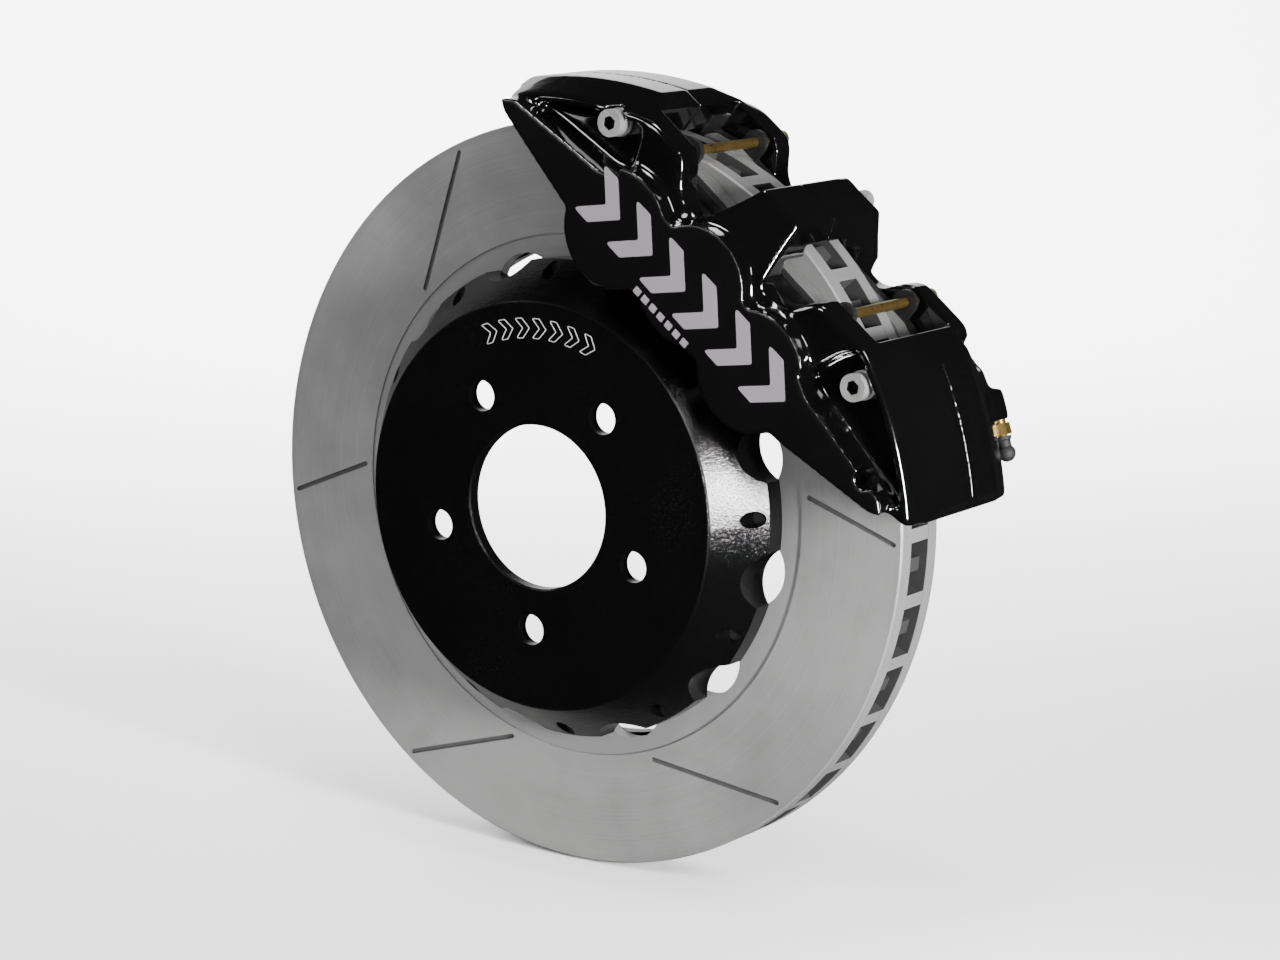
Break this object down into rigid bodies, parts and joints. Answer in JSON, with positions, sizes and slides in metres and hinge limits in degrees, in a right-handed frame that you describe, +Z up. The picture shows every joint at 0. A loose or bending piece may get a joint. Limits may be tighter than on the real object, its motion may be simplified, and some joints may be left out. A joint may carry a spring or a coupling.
{
  "type": "brake caliper with disc",
  "caption": "Black multi-piston brake caliper clamping a slotted, vented brake disc on a black hat.",
  "frame": {"origin": "centre of the hub register bore, on the hat's hub face", "axes": "+Y along the spin axis towards the car (inboard), +Z up, +X completes the right-handed frame, towards the side the caliper leans to"},
  "size_m": [0.3894, 0.112, 0.3835],
  "materials": {
    "disc_iron": "machined, brushed",
    "hat_black": "satin black anodised",
    "caliper_black": "gloss black enamel",
    "plated_steel": "zinc plated",
    "seal_rubber": "matte",
    "gold_pin": "gold zinc plated",
    "stainless": "rolled sheet",
    "black_steel": "black oxide",
    "pad_steel": "powder coated",
    "friction_lining": "sintered friction material",
    "bleeder_brass": "gold zinc plated",
    "cap_rubber": "matte",
    "piston_steel": "ground stainless"
  },
  "bodies": {
    "rotor": {"brake_disc": "disc_iron", "disc_hat": "hat_black", "hat_bolts": "plated_steel", "hat_bolt_washers": "plated_steel"},
    "caliper": {"outboard_caliper_half": "caliper_black", "inboard_caliper_half": "caliper_black", "end_body_bolts": "plated_steel", "end_body_bolt_washers": "plated_steel", "bridge_bolt": "plated_steel", "crossover_seals": "seal_rubber", "outboard_piston_seals": "seal_rubber", "inboard_piston_seals": "seal_rubber", "outboard_dust_boots": "seal_rubber", "inboard_dust_boots": "seal_rubber", "upper_pad_pin": "gold_pin", "lower_pad_pin": "gold_pin", "pad_pin_clips": "stainless", "upper_wear_plates": "stainless", "lower_wear_plates": "stainless", "gallery_plug": "black_steel"},
    "outboard_pad": {"outboard_backing_plate": "pad_steel", "outboard_lining": "friction_lining"},
    "inboard_pad": {"inboard_backing_plate": "pad_steel", "inboard_lining": "friction_lining"},
    "upper_bleeder": {"upper_bleed_screw": "bleeder_brass", "upper_bleed_cap": "cap_rubber"},
    "lower_bleeder": {"lower_bleed_screw": "bleeder_brass", "lower_bleed_cap": "cap_rubber"},
    "outboard_leading_piston": {"outboard_leading_piston": "piston_steel"},
    "outboard_middle_piston": {"outboard_middle_piston": "piston_steel"},
    "outboard_trailing_piston": {"outboard_trailing_piston": "piston_steel"},
    "inboard_leading_piston": {"inboard_leading_piston": "piston_steel"},
    "inboard_middle_piston": {"inboard_middle_piston": "piston_steel"},
    "inboard_trailing_piston": {"inboard_trailing_piston": "piston_steel"}
  },
  "joints": [
    {"name": "disc_spin", "type": "hinge", "parent": "caliper", "child": "rotor", "pos_m": [0, 0, 0], "axis": [0, 1, 0], "continuous": true},
    {"name": "outboard_pad_slide", "type": "slide", "parent": "caliper", "child": "outboard_pad", "axis": [0, 1, 0], "range_m": [-0.0014, 0.00055]},
    {"name": "inboard_pad_slide", "type": "slide", "parent": "caliper", "child": "inboard_pad", "axis": [0, -1, 0], "range_m": [-0.0014, 0.00055]},
    {"name": "outboard_leading_piston_slide", "type": "slide", "parent": "caliper", "child": "outboard_leading_piston", "axis": [0, 1, 0], "range_m": [-0.0014, 0.00055]},
    {"name": "outboard_middle_piston_slide", "type": "slide", "parent": "caliper", "child": "outboard_middle_piston", "axis": [0, 1, 0], "range_m": [-0.0014, 0.00055]},
    {"name": "outboard_trailing_piston_slide", "type": "slide", "parent": "caliper", "child": "outboard_trailing_piston", "axis": [0, 1, 0], "range_m": [-0.0014, 0.00055]},
    {"name": "inboard_leading_piston_slide", "type": "slide", "parent": "caliper", "child": "inboard_leading_piston", "axis": [0, -1, 0], "range_m": [-0.0014, 0.00055]},
    {"name": "inboard_middle_piston_slide", "type": "slide", "parent": "caliper", "child": "inboard_middle_piston", "axis": [0, -1, 0], "range_m": [-0.0014, 0.00055]},
    {"name": "inboard_trailing_piston_slide", "type": "slide", "parent": "caliper", "child": "inboard_trailing_piston", "axis": [0, -1, 0], "range_m": [-0.0014, 0.00055]},
    {"name": "upper_bleed_turn", "type": "hinge", "parent": "caliper", "child": "upper_bleeder", "pos_m": [0.01205, 0.0919, 0.18822], "axis": [-0.9986, 0, 0.0523], "range_deg": [0, 180]},
    {"name": "lower_bleed_turn", "type": "hinge", "parent": "caliper", "child": "lower_bleeder", "pos_m": [0.19221, 0.0919, 0.05267], "axis": [0.2924, 0, -0.9563], "range_deg": [0, 180]}
  ],
  "couplings": [
    {"joint": "inboard_pad_slide", "follows": "outboard_pad_slide", "ratio": 1},
    {"joint": "outboard_leading_piston_slide", "follows": "outboard_pad_slide", "ratio": 1},
    {"joint": "outboard_middle_piston_slide", "follows": "outboard_pad_slide", "ratio": 1},
    {"joint": "outboard_trailing_piston_slide", "follows": "outboard_pad_slide", "ratio": 1},
    {"joint": "inboard_leading_piston_slide", "follows": "outboard_pad_slide", "ratio": 1},
    {"joint": "inboard_middle_piston_slide", "follows": "outboard_pad_slide", "ratio": 1},
    {"joint": "inboard_trailing_piston_slide", "follows": "outboard_pad_slide", "ratio": 1}
  ]
}
